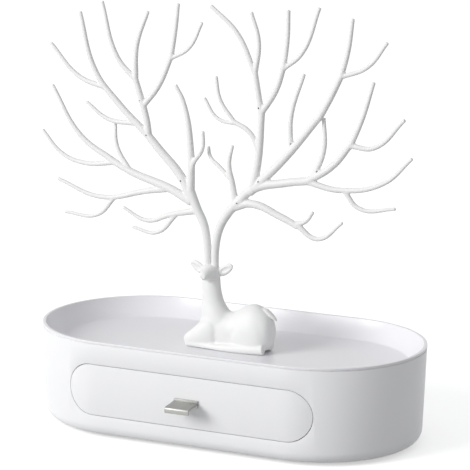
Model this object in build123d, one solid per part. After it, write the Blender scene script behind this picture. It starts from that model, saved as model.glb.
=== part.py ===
"""Jewellery stand: a stadium-shaped housing with one drawer, a dished tray on top, and a
resting deer on the tray whose two tree-like antlers carry necklaces and earrings.

Millimetres, +Z up. The origin is on the table, under the middle of the housing. The drawer
opens towards -Y, and the deer's body lies along X with its rump towards +X.
"""
from build123d import *
import os
from math import cos, pi, radians, sin, tan

# ---------------------------------------------------------------- driving dimensions
BASE_LENGTH = 290.0          # along X, at the rim
BASE_WIDTH = 152.0           # along Y, at the rim
BASE_HEIGHT = 72.0           # table to rim
WALL_DRAFT = 2.0             # degrees, the outer wall leans out towards the rim
FIT_GAP = 0.1                # between pieces that nest and stay put

HOUSING_WALL = 2.4
HOUSING_FLOOR = 2.5
BOTTOM_ROUND = 9.0           # outside radius along the bottom edge
INSIDE_CORNER_SHARE = 0.5    # of that radius, cut off the inside corner

FOOT_GAP = 2.0               # table to the underside of the housing
FOOT_DIAMETER = 14.0
FOOT_RECESS = 0.8

LIP_HEIGHT = 1.8             # rim of the tray, flush with the outer wall
RIM_WALL = 1.3               # housing wall where the tray nests inside it
RIM_STEP_GAP = 0.7           # between the tray's corner and the step where that wall ends
GROOVE_HEIGHT = 0.6          # shadow line between housing and tray
GROOVE_DEPTH = 0.7

TRAY_WALL = 1.2
TRAY_FLOOR = 2.0
TRAY_DEPTH = 14.0            # rim to tray floor
TRAY_ROUND = 11.0            # inside radius where the wall meets the floor
TRAY_UNDER_CHAMFER = 7.5     # outside corner under that round
RIM_EDGE_CHAMFER = 0.4

SCREW_DIAMETER = 3.0
SCREW_HEAD_DIAMETER = 5.6
SCREW_HEAD_HEIGHT = 1.8
SCREW_RUN = 0.05             # all round a shank in its pilot hole
SCREW_CLEARANCE = 0.3        # all round a shank in a through hole
PILOT_SPARE = 1.0            # pilot hole past the tip of its screw

PILLAR_END_SPACE = 33.0      # four screw pillars outside the drawer, in from the rim's ends
PILLAR_SIDE_SPACE = 46.0     # and in from its long sides
PILLAR_DIAMETER = 8.0
BOSS_DIAMETER = 11.0
BOSS_HEIGHT = 18.0           # above the underside of the housing
COUNTERBORE_ROOF = 2.5
TRAY_SCREW_GRIP = 10.0       # shank length inside the pillar

DRAWER_FRONT_END_SPACE = 51.0  # beside the drawer front, to each end of the rim
DRAWER_FRONT_HEIGHT = 37.0
DRAWER_FRONT_GAP = 0.5
DRAWER_CENTRE_Z = 36.5
DRAWER_FRONT_THICKNESS = 3.0
DRAWER_BOX_SET_IN = 12.0     # each side of the drawer box, in from its front's ends
DRAWER_BACK_SPACE = 26.0     # behind the drawer box, to the outer wall at the rim
DRAWER_TOP_CLEARANCE = 3.0   # between the drawer box and the underside of the tray
DRAWER_BOX_WALL = 1.8
DRAWER_CORNER_ROUND = 16.0   # upright corners of the drawer box
DRAWER_FLOOR_ROUND = 6.0     # inside, between its walls and its floor
DRAWER_UNDER_CHAMFER = 3.5   # outside, under that round
DRAWER_BACK_OF_FRONT = 6.0   # flat back of the drawer front, behind the outer wall at the rim
DRAWER_RUN_GAP = 0.2         # under the drawer box, on its runners
DRAWER_SIDE_GAP = 0.4
DRAWER_TRAVEL = 90.0

RUNNER_SET_IN = 24.0         # middle of a runner, in from the drawer box's side
RUNNER_WIDTH = 2.4
GUIDE_WALL = 2.0
GUIDE_TOP_SHARE = 0.75       # of the drawer box height
GUIDE_START = 12.0           # behind the outer wall at the rim
STOP_SET_IN = 20.0           # middle of a stop, in from the same side
STOP_WIDTH = 14.0
STOP_CATCH = 1.6             # overlap between the drawer's hooks and the tray's stop bars

PAD_SET_IN = 23.0            # each end of the flat pad that the drawer box is screwed to
PAD_HEIGHT = 24.0
FRONT_SCREW_SET_IN = 13.0    # in from the ends of the pad
FRONT_SCREW_Z = 6.0
FRONT_SCREW_GRIP = 2.6

PULL_WIDTH = 18.4
PULL_PROJECTION = 16.0
PULL_BACK_HEIGHT = 4.8
PULL_BACK_RISE = 1.5         # back plate above the tongue
PULL_SHEET = 1.4
PULL_LIP_HEIGHT = 4.4
PULL_TONGUE_DROP = 1.0       # the tongue falls this much towards the front
PULL_STUD_X = 5.2
PULL_STUD_DIAMETER = 4.4
PULL_STUD_LENGTH = 2.8

# ---------------------------------------------------------------- deer and antlers
# Heights in this part are above the tray floor. The head faces the drawer, straight along -Y.
DEER_HALF_WIDTH = 11.0
HEAD_X = -17.0
HEAD_HEIGHT = 54.0           # middle of the skull
SOCKET_SPACING = 5.8         # between the two antler stems
CROWN_HEIGHT = 60.5          # where the stems leave the head
PEDICLE_DIAMETER = 5.6       # short post on the skull that a stem stands on
PIN_DIAMETER = 3.4
PIN_LENGTH = 9.0
DEER_SCREW_X = (-8.0, 20.0)
DEER_SCREW_GRIP = 9.0

# Sections through an ear: reach from the middle of the skull, rise, half thickness, half height.
EAR_SECTIONS = ((3.5, 0.5, 1.2, 1.8), (7.5, 2.2, 1.6, 3.4), (11.5, 4.3, 1.5, 3.6), (16.5, 6.9, 0.4, 0.6))

FIGURE_SIDES = 16            # sides of a section through the deer
LEG_SIDES = 8
EAR_SIDES = 8
BRANCH_SIDES = 8
EARRING_HOLE = 1.5

# Each limb: its radii at root and tip, how far its tip stands out of the antler's plane,
# and the points (x, height) that its middle line passes through.
LEFT_ANTLER = {
    "stem": (2.7, 3.4, 0, (-19.9, 59), (-20.2, 73), (-23, 89), (-29, 101), (-34.5, 114)),
    "crown": (3.2, 1.3, 0, (-34, 111), (-34, 142), (-40, 177), (-46.5, 189)),
    "crown_spur": (2.0, 1.2, -4, (-33.5, 124), (-31.5, 133), (-23.5, 145), (-22.5, 158)),
    "high": (3.4, 2.8, 0, (-33, 107), (-41, 122), (-60.5, 142.5), (-69, 151.5)),
    "high_outer": (2.7, 1.3, 0, (-67.5, 150), (-92, 172), (-111, 194.5), (-123.5, 237)),
    "high_outer_spur": (1.9, 1.2, 0, (-102, 182.5), (-125, 190), (-147.5, 212.5)),
    "high_low_spur": (1.9, 1.1, 0, (-79, 158.5), (-100.5, 160), (-118.5, 171.5)),
    "high_inner": (2.5, 2.1, 0, (-67.5, 149), (-69.5, 162), (-79, 192.5)),
    "high_inner_left": (2.0, 1.2, 0, (-78.5, 190.5), (-93, 205.5), (-105.5, 245.5)),
    "high_inner_right": (2.1, 1.3, 0, (-78.5, 191), (-77.5, 215), (-68.5, 240.5)),
    "high_fork": (2.1, 1.8, 0, (-72, 172), (-60, 187), (-49.5, 210)),
    "high_fork_left": (1.8, 1.3, 0, (-50, 208.5), (-46.5, 229.5), (-44.5, 247.5)),
    "high_fork_right": (1.5, 1.1, 0, (-50.5, 207.5), (-36, 216), (-25.5, 235)),
    "low": (3.3, 2.4, 0, (-33, 105), (-50, 113), (-81, 122.5), (-97, 129.5)),
    "low_outer_up": (2.3, 1.1, 0, (-95.5, 129), (-123.5, 146.5), (-146.5, 182)),
    "low_outer_down": (2.0, 1.1, 0, (-95, 128.5), (-120, 126), (-138.5, 131.5), (-155, 148)),
    "low_inner_spur": (1.8, 1.2, 4, (-83, 123.5), (-94.5, 140.5), (-97, 158)),
    "long": (2.4, 1.2, 0, (-51, 113), (-68, 110), (-107, 102), (-142.5, 112.5)),
    "long_spur": (1.7, 1.1, 0, (-95.5, 102.5), (-109.5, 88.5), (-136.5, 88)),
    "bottom": (2.5, 1.1, 0, (-26.5, 99.5), (-50, 94), (-69, 88), (-88.5, 96)),
    "bottom_spur": (1.8, 1.1, 0, (-45.5, 94.5), (-60.5, 80), (-81, 82)),
}
LEFT_HOLES = ((-74.5, 175.5), (-68.5, 151), (-40.5, 120), (-105, 131), (-64.5, 114.5))

RIGHT_ANTLER = {
    "stem": (2.7, 3.4, 0, (-14.1, 59), (-13.8, 73), (-11, 87), (-4.5, 99), (4.5, 109)),
    "inner": (2.6, 1.2, 0, (2, 106), (-1, 121.5), (-3.7, 135), (-1, 149)),
    "inner_spur": (1.6, 1.2, 4, (-3, 125), (-12, 132.5), (-19.5, 138.5), (-22, 146)),
    "bottom": (3.1, 2.3, 0, (1, 104.5), (13.5, 108), (37.5, 100.5), (50.5, 95)),
    "bottom_up": (1.8, 1.2, 0, (48, 96.5), (56, 99), (62, 106.5)),
    "bottom_down": (2.1, 1.1, 0, (49.5, 96), (65.5, 87.5), (84.5, 101)),
    "low": (3.4, 2.8, 0, (2, 106), (14, 118), (40.5, 125.5), (58.5, 128.5)),
    "low_long": (2.3, 1.2, 0, (56, 128), (82, 124), (114.5, 131.5), (135.5, 151)),
    "low_long_spur": (1.8, 1.2, 0, (85, 124.5), (96.5, 112.5), (124, 114.5)),
    "low_up": (2.8, 2.1, 0, (56, 127.5), (76, 140.5), (90.5, 158)),
    "low_up_left": (2.0, 1.3, 0, (89.5, 156), (98, 176), (106, 202)),
    "low_up_right": (1.9, 1.2, 0, (89.5, 156), (107, 156), (129.5, 177.5)),
    "low_inner_spur": (2.2, 1.3, 4, (61, 130), (68.5, 151), (67.3, 173.5)),
    "high": (3.3, 2.4, 0, (12.5, 116), (39.5, 143), (66, 175)),
    "high_top": (2.5, 2.0, 0, (65, 173), (75, 191), (82, 205.5)),
    "high_left": (2.0, 1.3, 0, (81.5, 204), (86.5, 223), (89.5, 245)),
    "high_right": (1.7, 1.2, 0, (80.5, 203.5), (101, 212), (115.5, 230)),
    "high_spur": (1.9, 1.3, 0, (44.5, 148.5), (44, 172.5), (53.5, 204)),
    "crown": (3.1, 2.3, 0, (14.5, 116.5), (19, 140), (21.5, 174.5)),
    "crown_left": (2.3, 1.9, 0, (21.3, 173), (19, 185), (15.8, 203.5)),
    "crown_left_in": (1.9, 1.3, 0, (16, 201.5), (2, 229), (-19, 247.5)),
    "crown_left_out": (1.9, 1.2, 0, (16, 201.5), (18.5, 224), (12.5, 245)),
    "crown_right": (2.3, 1.9, 0, (20.5, 173), (32, 190.5), (38.3, 209)),
    "crown_right_in": (1.8, 1.4, 0, (38, 207.5), (40.5, 228), (41, 248)),
    "crown_right_out": (1.6, 1.3, 0, (38, 206.5), (51.5, 218), (64.5, 251)),
    "crown_spur": (1.9, 1.6, 0, (19.5, 146), (12.5, 159), (-1, 166.5)),
    "crown_spur_up": (1.5, 1.2, 0, (0, 166), (-11, 181), (-14.5, 197.5)),
    "crown_spur_down": (1.4, 1.1, 0, (3, 164.5), (-13, 167.5), (-23.5, 181.5)),
}
RIGHT_HOLES = ((19.7, 177.5), (44.6, 154), (64.8, 136), (20.5, 125), (4.2, 108))

# ---------------------------------------------------------------- derived heights
BODY_BOTTOM = FOOT_GAP
BODY_FLOOR = BODY_BOTTOM + HOUSING_FLOOR
SEAT_Z = BASE_HEIGHT - LIP_HEIGHT
TRAY_TOP = BASE_HEIGHT - TRAY_DEPTH
TRAY_UNDER = TRAY_TOP - TRAY_FLOOR
TRAY_INSET = RIM_WALL + FIT_GAP
RIM_STEP_Z = TRAY_UNDER + TRAY_UNDER_CHAMFER - (HOUSING_WALL - TRAY_INSET) - RIM_STEP_GAP
BOX_BOTTOM = DRAWER_CENTRE_Z - DRAWER_FRONT_HEIGHT / 2 + 1.0
BOX_TOP = TRAY_UNDER - DRAWER_TOP_CLEARANCE
DRAWER_BOX_HEIGHT = BOX_TOP - BOX_BOTTOM
BOX_FRONT_Y = -BASE_WIDTH / 2 + DRAWER_BACK_OF_FRONT
BOX_BACK_Y = BASE_WIDTH / 2 - DRAWER_BACK_SPACE
DRAWER_FRONT_WIDTH = BASE_LENGTH - 2 * DRAWER_FRONT_END_SPACE
DRAWER_BOX_WIDTH = DRAWER_FRONT_WIDTH - 2 * DRAWER_BOX_SET_IN
RUNNER_X = DRAWER_BOX_WIDTH / 2 - RUNNER_SET_IN
STOP_X = DRAWER_BOX_WIDTH / 2 - STOP_SET_IN
PAD_WIDTH = DRAWER_BOX_WIDTH - 2 * PAD_SET_IN
FRONT_SCREW_X = PAD_WIDTH / 2 - FRONT_SCREW_SET_IN
OPENING_WIDTH = DRAWER_FRONT_WIDTH + 2 * DRAWER_FRONT_GAP
OPENING_HEIGHT = DRAWER_FRONT_HEIGHT + 2 * DRAWER_FRONT_GAP
PILLAR_X = BASE_LENGTH / 2 - PILLAR_END_SPACE
PILLAR_Y = BASE_WIDTH / 2 - PILLAR_SIDE_SPACE
PILLARS = [(x, y) for x in (-PILLAR_X, PILLAR_X) for y in (-PILLAR_Y, PILLAR_Y)]
FRONT_SCREWS = [
    (x, DRAWER_CENTRE_Z + z)
    for x in (-FRONT_SCREW_X, FRONT_SCREW_X)
    for z in (-FRONT_SCREW_Z, FRONT_SCREW_Z)
]
PULL_STUDS = [(x, DRAWER_CENTRE_Z) for x in (-PULL_STUD_X, PULL_STUD_X)]


# ---------------------------------------------------------------- shared shapes
def draft_shift(z):
    """How far the drafted outer wall stands inside its place at the rim."""
    return (BASE_HEIGHT - z) * tan(radians(WALL_DRAFT))


def front_wall_y(z):
    """The flat part of the outer wall on the drawer side."""
    return -BASE_WIDTH / 2 + draft_shift(z)


def drafted_prism(z_low, z_high, inset):
    """The stadium body between two heights, set in from the outer wall."""
    shrink = 2 * (inset + draft_shift(z_low))
    outline = Pos(0, 0, z_low) * SlotOverall(BASE_LENGTH - shrink, BASE_WIDTH - shrink)
    return extrude(outline, amount=z_high - z_low, taper=-WALL_DRAFT)


def bottom_edges(body):
    return body.faces().sort_by(Axis.Z)[0].edges()


def bowl(z_low, z_high, inset, bottom_round):
    """The same body with a rounded bottom edge."""
    body = drafted_prism(z_low, z_high, inset)
    return fillet(bottom_edges(body), bottom_round)


def chamfered_bowl(z_low, z_high, inset, corner):
    """The same body with its bottom edge cut off, for corners that nobody sees."""
    body = drafted_prism(z_low, z_high, inset)
    return chamfer(bottom_edges(body), corner)


def upright_rod(x, y, z_low, z_high, diameter):
    rod = Cylinder(diameter / 2, z_high - z_low, align=(Align.CENTER, Align.CENTER, Align.MIN))
    return Pos(x, y, z_low) * rod


def forward_rod(x, z, y_back, y_front, diameter):
    """A rod that points at the drawer side, from y_back to y_front."""
    plane = Plane(origin=(x, y_back, z), x_dir=(1, 0, 0), z_dir=(0, -1, 0))
    return extrude(plane * Circle(diameter / 2), amount=y_back - y_front)


def forward_slot(width, height, y_back, y_front):
    """An obround bar across the drawer's front, from y_back to y_front."""
    plane = Plane(origin=(0, y_back, DRAWER_CENTRE_Z), x_dir=(1, 0, 0), z_dir=(0, -1, 0))
    return extrude(plane * SlotOverall(width, height), amount=y_back - y_front)


def block(x0, x1, y0, y1, z0, z1):
    low = (Align.MIN, Align.MIN, Align.MIN)
    return Pos(x0, y0, z0) * Box(x1 - x0, y1 - y0, z1 - z0, align=low)


def upright_screw(x, y, head_z, tip_z):
    """Pan-head screw driven up from below, its head resting under head_z."""
    head = upright_rod(x, y, head_z - SCREW_HEAD_HEIGHT, head_z, SCREW_HEAD_DIAMETER)
    head = chamfer(head.faces().sort_by(Axis.Z)[0].edges(), SCREW_HEAD_HEIGHT * 0.4)
    return head + upright_rod(x, y, head_z - 0.1, tip_z, SCREW_DIAMETER)


def forward_screw(x, z, head_y, tip_y):
    """Pan-head screw driven from inside the drawer towards its front."""
    head = forward_rod(x, z, head_y + SCREW_HEAD_HEIGHT, head_y, SCREW_HEAD_DIAMETER)
    head = chamfer(head.faces().sort_by(Axis.Y)[-1].edges(), SCREW_HEAD_HEIGHT * 0.4)
    return head + forward_rod(x, z, head_y + 0.1, tip_y, SCREW_DIAMETER)


# ---------------------------------------------------------------- housing
def make_housing():
    shell = bowl(BODY_BOTTOM, SEAT_Z, 0, BOTTOM_ROUND)
    shell -= chamfered_bowl(BODY_FLOOR, SEAT_Z, HOUSING_WALL, INSIDE_CORNER_SHARE * BOTTOM_ROUND)
    shell -= drafted_prism(RIM_STEP_Z, SEAT_Z, RIM_WALL)
    groove_z = SEAT_Z - GROOVE_HEIGHT
    shell -= drafted_prism(groove_z, SEAT_Z, -1.0) - drafted_prism(groove_z, SEAT_Z, GROOVE_DEPTH)
    shell -= forward_slot(OPENING_WIDTH, OPENING_HEIGHT, -BASE_WIDTH / 4, -BASE_WIDTH / 2 - 1)

    root_z = BODY_FLOOR - 0.5
    runner_top = BOX_BOTTOM - DRAWER_RUN_GAP
    guide_top = BOX_BOTTOM + GUIDE_TOP_SHARE * DRAWER_BOX_HEIGHT
    guide_x = DRAWER_BOX_WIDTH / 2 + DRAWER_SIDE_GAP
    start_y = -BASE_WIDTH / 2 + GUIDE_START
    for side in (-1, 1):
        x = side * RUNNER_X
        shell += block(x - RUNNER_WIDTH / 2, x + RUNNER_WIDTH / 2, start_y, BOX_BACK_Y, root_z, runner_top)
        inner, outer = sorted((side * guide_x, side * (guide_x + GUIDE_WALL)))
        shell += block(inner, outer, start_y, BOX_BACK_Y, root_z, guide_top)
        back = BOX_BACK_Y + FIT_GAP
        shell += block(x - STOP_WIDTH / 2, x + STOP_WIDTH / 2, back, back + GUIDE_WALL, root_z, guide_top)

    boss_top = BODY_BOTTOM + BOSS_HEIGHT
    for x, y in PILLARS:
        shell += upright_rod(x, y, root_z, boss_top, BOSS_DIAMETER)
        roof = boss_top - COUNTERBORE_ROOF
        shell -= upright_rod(x, y, 0, roof, SCREW_HEAD_DIAMETER + 2 * SCREW_CLEARANCE)
        shell -= upright_rod(x, y, roof, boss_top, SCREW_DIAMETER + 2 * SCREW_CLEARANCE)
        shell -= upright_rod(x, y, 0, BODY_BOTTOM + FOOT_RECESS, FOOT_DIAMETER + 2 * FIT_GAP)
    return shell


def make_foot(x, y):
    foot = upright_rod(x, y, 0, BODY_BOTTOM + FOOT_RECESS, FOOT_DIAMETER)
    return chamfer(foot.faces().sort_by(Axis.Z)[0].edges(), 0.6)


def make_tray_screws():
    head_z = BODY_BOTTOM + BOSS_HEIGHT - COUNTERBORE_ROOF
    tip_z = BODY_BOTTOM + BOSS_HEIGHT + TRAY_SCREW_GRIP
    return [upright_screw(x, y, head_z, tip_z) for x, y in PILLARS]


# ---------------------------------------------------------------- tray
def make_tray():
    tray = chamfered_bowl(TRAY_UNDER, SEAT_Z, TRAY_INSET, TRAY_UNDER_CHAMFER)
    lip = drafted_prism(SEAT_Z, BASE_HEIGHT, 0)
    lip = chamfer(lip.faces().sort_by(Axis.Z)[-1].edges(), RIM_EDGE_CHAMFER)
    tray += lip
    tray -= bowl(TRAY_TOP, BASE_HEIGHT, TRAY_INSET + TRAY_WALL, TRAY_ROUND)
    for x, y in PILLARS:
        pillar_z = BODY_BOTTOM + BOSS_HEIGHT
        tray += upright_rod(x, y, pillar_z, TRAY_TOP - TRAY_FLOOR / 2, PILLAR_DIAMETER)
        pilot_top = pillar_z + TRAY_SCREW_GRIP + PILOT_SPARE
        tray -= upright_rod(x, y, pillar_z, pilot_top, SCREW_DIAMETER + 2 * SCREW_RUN)
    for x in DEER_SCREW_X:
        tray -= upright_rod(x, 0, TRAY_UNDER, TRAY_TOP, SCREW_DIAMETER + 2 * SCREW_CLEARANCE)
    bar_back = BOX_BACK_Y - DRAWER_BOX_WALL - DRAWER_TRAVEL - FIT_GAP
    bar_bottom = BOX_TOP + 0.6
    for x in (-STOP_X, STOP_X):
        tray += block(x - STOP_WIDTH / 2, x + STOP_WIDTH / 2, bar_back - GUIDE_WALL, bar_back,
                      bar_bottom, TRAY_TOP - TRAY_FLOOR / 2)
    return tray


# ---------------------------------------------------------------- drawer
def cornered_box(inset, z_top):
    """The drawer box's outside, or its inside when inset by the wall, with upright rounds."""
    half = DRAWER_BOX_WIDTH / 2 - inset
    box = block(-half, half, BOX_FRONT_Y + inset, BOX_BACK_Y - inset, BOX_BOTTOM + inset, z_top)
    return fillet(box.edges().filter_by(Axis.Z), DRAWER_CORNER_ROUND - inset)


def make_drawer_box():
    box = cornered_box(0, BOX_TOP)
    box = chamfer(bottom_edges(box), DRAWER_UNDER_CHAMFER)
    inside = cornered_box(DRAWER_BOX_WALL, BOX_TOP)
    box -= fillet(bottom_edges(inside), DRAWER_FLOOR_ROUND)
    hook_top = BOX_TOP + 0.6 + STOP_CATCH
    for x in (-STOP_X, STOP_X):
        hook = block(x - STOP_WIDTH / 2 + 1, x + STOP_WIDTH / 2 - 1,
                     BOX_BACK_Y - DRAWER_BOX_WALL, BOX_BACK_Y, BOX_TOP - 1, hook_top)
        box += hook
    hole = SCREW_DIAMETER + 2 * SCREW_CLEARANCE
    for x, z in FRONT_SCREWS + PULL_STUDS:
        box -= forward_rod(x, z, BOX_FRONT_Y + DRAWER_BOX_WALL, BOX_FRONT_Y, hole)
    return box


def make_drawer_front():
    z_low = DRAWER_CENTRE_Z - DRAWER_FRONT_HEIGHT / 2 - 2
    z_high = DRAWER_CENTRE_Z + DRAWER_FRONT_HEIGHT / 2 + 2
    skin = drafted_prism(z_low, z_high, 0) - drafted_prism(z_low, z_high, DRAWER_FRONT_THICKNESS)
    far = -BASE_WIDTH / 2 - 1
    front = skin & forward_slot(DRAWER_FRONT_WIDTH, DRAWER_FRONT_HEIGHT, -BASE_WIDTH / 4, far)
    pad_front = BOX_FRONT_Y - DRAWER_BACK_OF_FRONT + DRAWER_FRONT_THICKNESS + 0.5
    half_width = PAD_WIDTH / 2
    front += block(-half_width, half_width, pad_front, BOX_FRONT_Y,
                   DRAWER_CENTRE_Z - PAD_HEIGHT / 2, DRAWER_CENTRE_Z + PAD_HEIGHT / 2)
    for x, z in FRONT_SCREWS:
        tip = BOX_FRONT_Y - FRONT_SCREW_GRIP - 0.2
        front -= forward_rod(x, z, BOX_FRONT_Y, tip, SCREW_DIAMETER + 2 * SCREW_RUN)
    for x, z in PULL_STUDS:
        stud_y = front_wall_y(z) + PULL_STUD_LENGTH + FIT_GAP
        front -= forward_rod(x, z, BOX_FRONT_Y, stud_y, SCREW_DIAMETER + 2 * SCREW_CLEARANCE)
        front -= forward_rod(x, z, stud_y, far, PULL_STUD_DIAMETER + 2 * SCREW_RUN)
    return front


def make_front_screws():
    head_y = BOX_FRONT_Y + DRAWER_BOX_WALL
    return [forward_screw(x, z, head_y, BOX_FRONT_Y - FRONT_SCREW_GRIP) for x, z in FRONT_SCREWS]


def make_pull():
    """A folded strip: back plate on the drawer front, tongue, and a lip turned down."""
    z_top = DRAWER_CENTRE_Z + PULL_BACK_HEIGHT / 2
    z_low = z_top - PULL_BACK_HEIGHT
    y_top = front_wall_y(z_top)
    y_low = front_wall_y(z_low)
    tongue_z = z_top - PULL_BACK_RISE
    nose_y = y_top - PULL_PROJECTION
    nose_z = tongue_z - PULL_TONGUE_DROP
    sheet = PULL_SHEET
    with BuildPart() as pull:
        with BuildSketch(Plane(origin=(-PULL_WIDTH / 2, 0, 0), x_dir=(0, 1, 0), z_dir=(1, 0, 0))):
            with BuildLine():
                Polyline(
                    (y_top, z_top),
                    (y_top - sheet, z_top),
                    (y_top - sheet, tongue_z),
                    (nose_y, nose_z),
                    (nose_y, nose_z - PULL_LIP_HEIGHT),
                    (nose_y + sheet, nose_z - PULL_LIP_HEIGHT),
                    (nose_y + sheet, nose_z - sheet),
                    (y_top - sheet, tongue_z - sheet),
                    (y_top - sheet, z_low),
                    (y_low, z_low),
                    close=True,
                )
            make_face()
        extrude(amount=PULL_WIDTH)
        edges = pull.edges().filter_by(Axis.X)
        bend = edges.filter_by_position(Axis.Y, nose_y - 0.1, nose_y + 0.1).sort_by(Axis.Z)[-1]
        fillet(bend, sheet * 1.2)
        sides = pull.edges().filter_by(Axis.Z).filter_by_position(Axis.Y, nose_y - 0.1, nose_y + 0.1)
        fillet(sides, 0.6)
    body = pull.part
    for x, z in PULL_STUDS:
        wall_y = front_wall_y(z)
        body += forward_rod(x, z, wall_y + PULL_STUD_LENGTH, wall_y - sheet / 2, PULL_STUD_DIAMETER)
        tip = wall_y - sheet / 4
        body -= forward_rod(x, z, wall_y + PULL_STUD_LENGTH, tip, SCREW_DIAMETER + 2 * SCREW_RUN)
    return body


def make_pull_screws():
    head_y = BOX_FRONT_Y + DRAWER_BOX_WALL
    return [forward_screw(x, z, head_y, front_wall_y(z) + 0.2) for x, z in PULL_STUDS]


# ---------------------------------------------------------------- shapes of the figure
def ring(centre, direction, half_width, half_height, sides):
    """A flat many-sided ellipse across the figure, half_width along Y unless it faces Y."""
    across = (1, 0, 0) if abs(Vector(direction).Y) > 0.9 else (0, 1, 0)
    plane = Plane(origin=centre, x_dir=across, z_dir=direction)
    corners = []
    for i in range(sides):
        turn = 2 * pi * (i + 0.5) / sides
        corners.append(plane.from_local_coords((half_width * cos(turn), half_height * sin(turn), 0)))
    return Wire.make_polygon(corners)


def between(values, place):
    """A smooth curve through the values, read at a place counted in values from the first."""
    i = min(int(place), len(values) - 2)
    t = place - i
    before = values[max(i - 1, 0)]
    start = values[i]
    end = values[i + 1]
    after = values[min(i + 2, len(values) - 1)]
    bend = 2 * before - 5 * start + 4 * end - after
    twist = 3 * (start - end) + after - before
    return start + 0.5 * t * (end - before + t * (bend + t * twist))


def swelling_body(sections, direction, steps, sides=FIGURE_SIDES):
    """A body through (x, y, height, half width, half height), in steps between two sections."""
    columns = list(zip(*sections))
    rings = []
    for i in range(steps * (len(sections) - 1) + 1):
        x, y, height, half_width, half_height = [between(column, i / steps) for column in columns]
        rings.append(ring((x, y, TRAY_TOP + height), direction, half_width, half_height, sides))
    return Solid.make_loft(rings, ruled=True)


def limb(points, root_radius, tip_radius, sides):
    """A leg or a branch: rings along its curved middle line, closed by a blunt dome."""
    path = Spline(*points)
    steps = 1 + len(points)
    rings = []
    for i in range(steps):
        share = i / steps
        radius = root_radius + (tip_radius - root_radius) * share
        rings.append(ring(path @ share, path % share, radius, radius, sides))
    tip = path @ 1
    ahead = path % 1
    rings.append(ring(tip - ahead * tip_radius * 0.7, ahead, tip_radius, tip_radius, sides))
    rings.append(ring(tip, ahead, tip_radius * 0.6, tip_radius * 0.6, sides))
    return Solid.make_loft(rings, ruled=True)


# ---------------------------------------------------------------- deer
def make_torso():
    """From the breast on the left to the rump on the right."""
    w = DEER_HALF_WIDTH
    sections = (
        (-26.5, 0, 15.0, 0.30 * w, 4.0),
        (-22.0, 0, 14.5, 0.72 * w, 11.0),
        (-12.0, 0, 15.3, 0.92 * w, 14.9),
        (0.0, 0, 14.2, 0.95 * w, 13.9),
        (12.0, 0, 16.4, 1.0 * w, 16.0),
        (22.0, 0, 17.4, 0.98 * w, 16.6),
        (29.0, 0, 16.0, 0.80 * w, 12.5),
        (32.8, 0, 15.5, 0.30 * w, 5.0),
    )
    return swelling_body(sections, (1, 0, 0), 2)


def make_neck():
    sections = (
        (-15.5, 0, 12.0, 7.8, 9.2),
        (-16.0, 0, 24.0, 7.4, 9.3),
        (-16.3, 0, 34.0, 6.6, 8.3),
        (-16.7, 0, 45.0, 5.9, 6.7),
        (-17.0, 0, 55.0, 5.2, 5.6),
    )
    return swelling_body(sections, (0, 0, 1), 2)


def make_head():
    """Skull and muzzle in one, from the back of the skull to the nose at -Y."""
    sections = (
        (HEAD_X, 6.6, HEAD_HEIGHT + 0.5, 2.4, 2.4),
        (HEAD_X, 4.6, HEAD_HEIGHT + 0.5, 5.0, 4.8),
        (HEAD_X, 0.0, HEAD_HEIGHT + 0.3, 6.3, 6.0),
        (HEAD_X, -5.0, HEAD_HEIGHT - 0.4, 5.0, 4.8),
        (HEAD_X, -9.0, HEAD_HEIGHT - 1.6, 3.8, 3.6),
        (HEAD_X, -13.0, HEAD_HEIGHT - 2.4, 3.2, 3.0),
        (HEAD_X, -14.8, HEAD_HEIGHT - 2.6, 1.6, 1.5),
    )
    return swelling_body(sections, (0, 1, 0), 2)


def make_ear(side):
    """A pointed leaf that leaves the head sideways, hollowed from the front."""
    direction = (side * 0.88, 0, 0.47)
    leaf = []
    hollow = []
    for reach, rise, thick, tall in EAR_SECTIONS:
        x = HEAD_X + side * reach
        height = HEAD_HEIGHT + rise
        leaf.append((x, 1.0, height, thick, tall))
        hollow.append((x, 1.0 - 1.5 * thick, height, 1.35 * thick, 0.66 * tall))
    ear = swelling_body(leaf, direction, 1, EAR_SIDES)
    return ear - swelling_body(hollow[1:], direction, 1, EAR_SIDES)


def make_leg_pair(side):
    """Folded foreleg and hind leg on one side, with the thigh that covers the belly."""
    y = side * DEER_HALF_WIDTH
    floor = TRAY_TOP
    arm = limb(((-18, 0.45 * y, floor + 18), (-27, 0.58 * y, floor + 10), (-36, 0.64 * y, floor + 3.8)),
               6.4, 3.5, LEG_SIDES)
    shank = limb(((-35, 0.62 * y, floor + 3.4), (-20, 0.72 * y, floor + 3.0), (-4, 0.74 * y, floor + 2.6)),
                 3.3, 2.5, LEG_SIDES)
    thigh = swelling_body(
        (
            (4.0, 0.50 * y, 11.0, 2.5, 3.5),
            (8.5, 0.52 * y, 12.5, 5.5, 9.0),
            (18.0, 0.52 * y, 14.5, 6.6, 12.5),
            (26.0, 0.52 * y, 13.5, 5.4, 9.5),
            (30.0, 0.50 * y, 11.5, 2.5, 4.5),
        ),
        (1, 0, 0), 2,
    )
    hind = limb(((27, 0.62 * y, floor + 4.6), (6, 0.84 * y, floor + 3.0), (-19, 0.80 * y, floor + 2.6)),
                4.2, 2.3, LEG_SIDES)
    return arm + shank + thigh + hind


def make_tail():
    sections = (
        (23.0, 0, 31.5, 2.5, 2.2),
        (27.0, 0, 30.3, 3.0, 2.3),
        (31.5, 0, 27.8, 2.6, 1.8),
        (35.3, 0, 25.0, 1.2, 0.8),
    )
    return swelling_body(sections, (0.83, 0, -0.55), 1, LEG_SIDES)


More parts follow.
